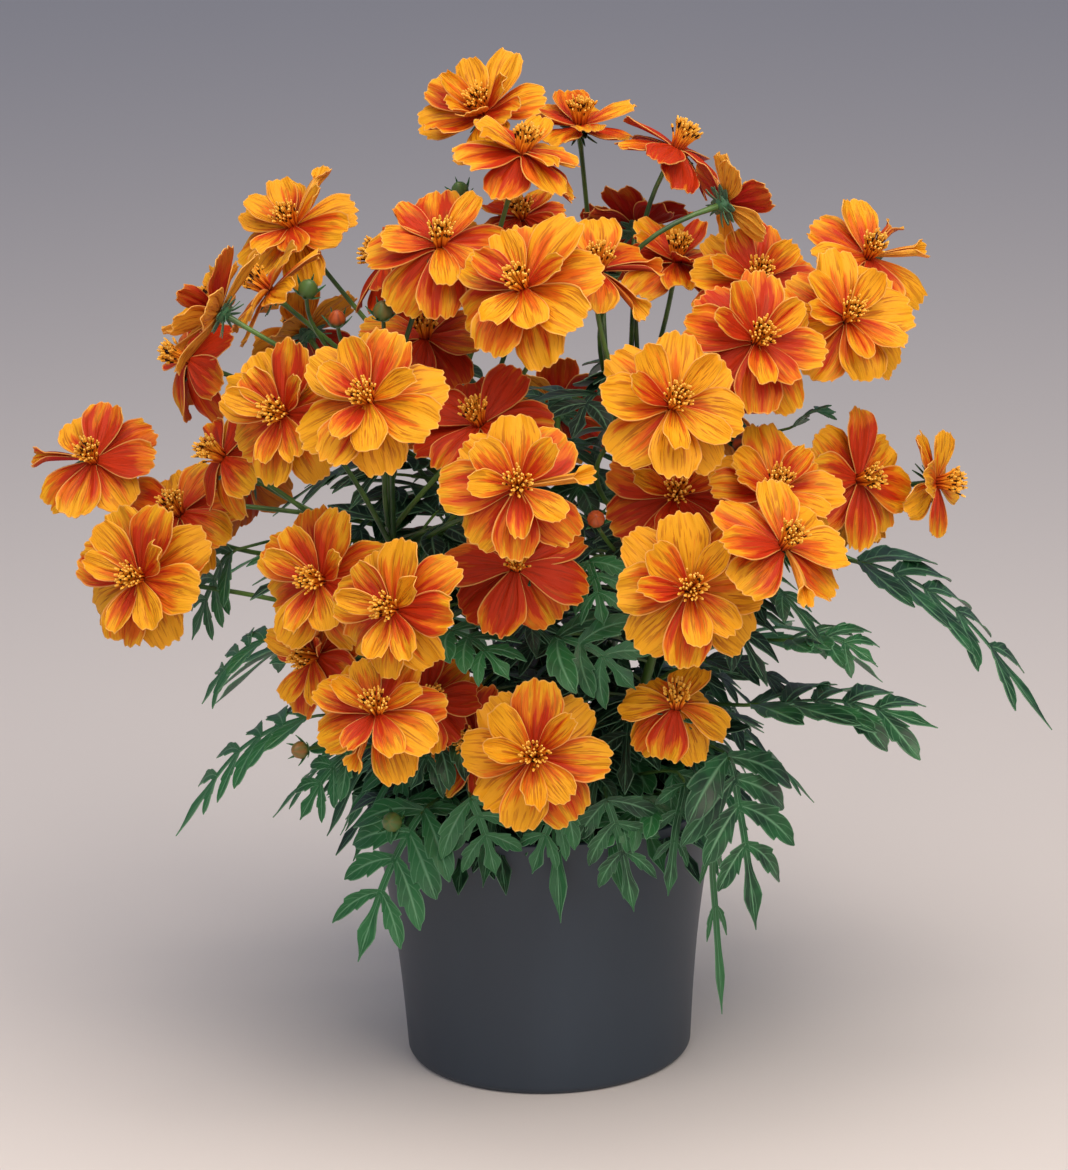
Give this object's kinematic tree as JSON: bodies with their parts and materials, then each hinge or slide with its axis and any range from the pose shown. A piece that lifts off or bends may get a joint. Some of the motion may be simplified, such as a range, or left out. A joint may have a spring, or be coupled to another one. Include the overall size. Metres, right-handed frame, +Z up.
{
  "type": "potted cosmic orange cosmos",
  "caption": "Potted orange cosmos: ruffled semi-double blooms on thin branching stalks above dark lobed leaves, in a plain flared dark plastic pot.",
  "frame": {"origin": "centre of the pot's flat underside", "axes": "+Z up, -Y towards the plant's front, where most blooms face, +X to the right seen from the front"},
  "size_m": [0.404, 0.3307, 0.4104],
  "materials": {
    "pot": "satin dark blue-grey moulded plastic",
    "soil": "damp dark peat compost, crumbly",
    "foliage": "dark green leaves with paler ribs, on glossy green stalks",
    "petals": "silky pleated orange petals, deeper at the base, with a yellow-orange disc"
  },
  "bodies": {
    "root": {"pot": "pot", "soil": "soil", "leafy_stem_1": "foliage", "leafy_stem_2": "foliage", "leafy_stem_3": "foliage", "leafy_stem_4": "foliage", "bloom_01": "petals", "bloom_02": "petals", "bloom_03": "petals", "bloom_04": "petals", "bloom_05": "petals", "bloom_06": "petals", "bloom_07": "petals", "bloom_08": "petals", "bloom_09": "petals", "bloom_10": "petals", "bloom_11": "petals", "bloom_12": "petals", "bloom_13": "petals", "bloom_14": "petals", "bloom_15": "petals", "bloom_16": "petals", "bloom_17": "petals", "bloom_18": "petals", "bloom_19": "petals", "bloom_20": "petals", "bloom_21": "petals", "bloom_22": "petals", "bloom_23": "petals", "bloom_24": "petals", "bloom_25": "petals", "bloom_26": "petals", "bloom_27": "petals", "bloom_28": "petals", "bloom_29": "petals", "bloom_30": "petals", "bloom_31": "petals", "bloom_32": "petals", "bloom_33": "petals", "bloom_34": "petals", "bloom_35": "petals", "bloom_36": "petals", "bloom_37": "petals", "bloom_38": "petals", "bloom_39": "petals", "bloom_40": "petals", "bloom_41": "petals", "bloom_42": "petals", "bloom_43": "petals", "bloom_44": "petals", "bloom_45": "petals", "bloom_46": "petals", "bloom_47": "petals", "bloom_48": "petals", "bloom_49": "petals", "bloom_50": "petals", "bloom_51": "petals", "bloom_52": "petals", "bloom_53": "petals", "bloom_54": "petals"}
  },
  "joints": []
}
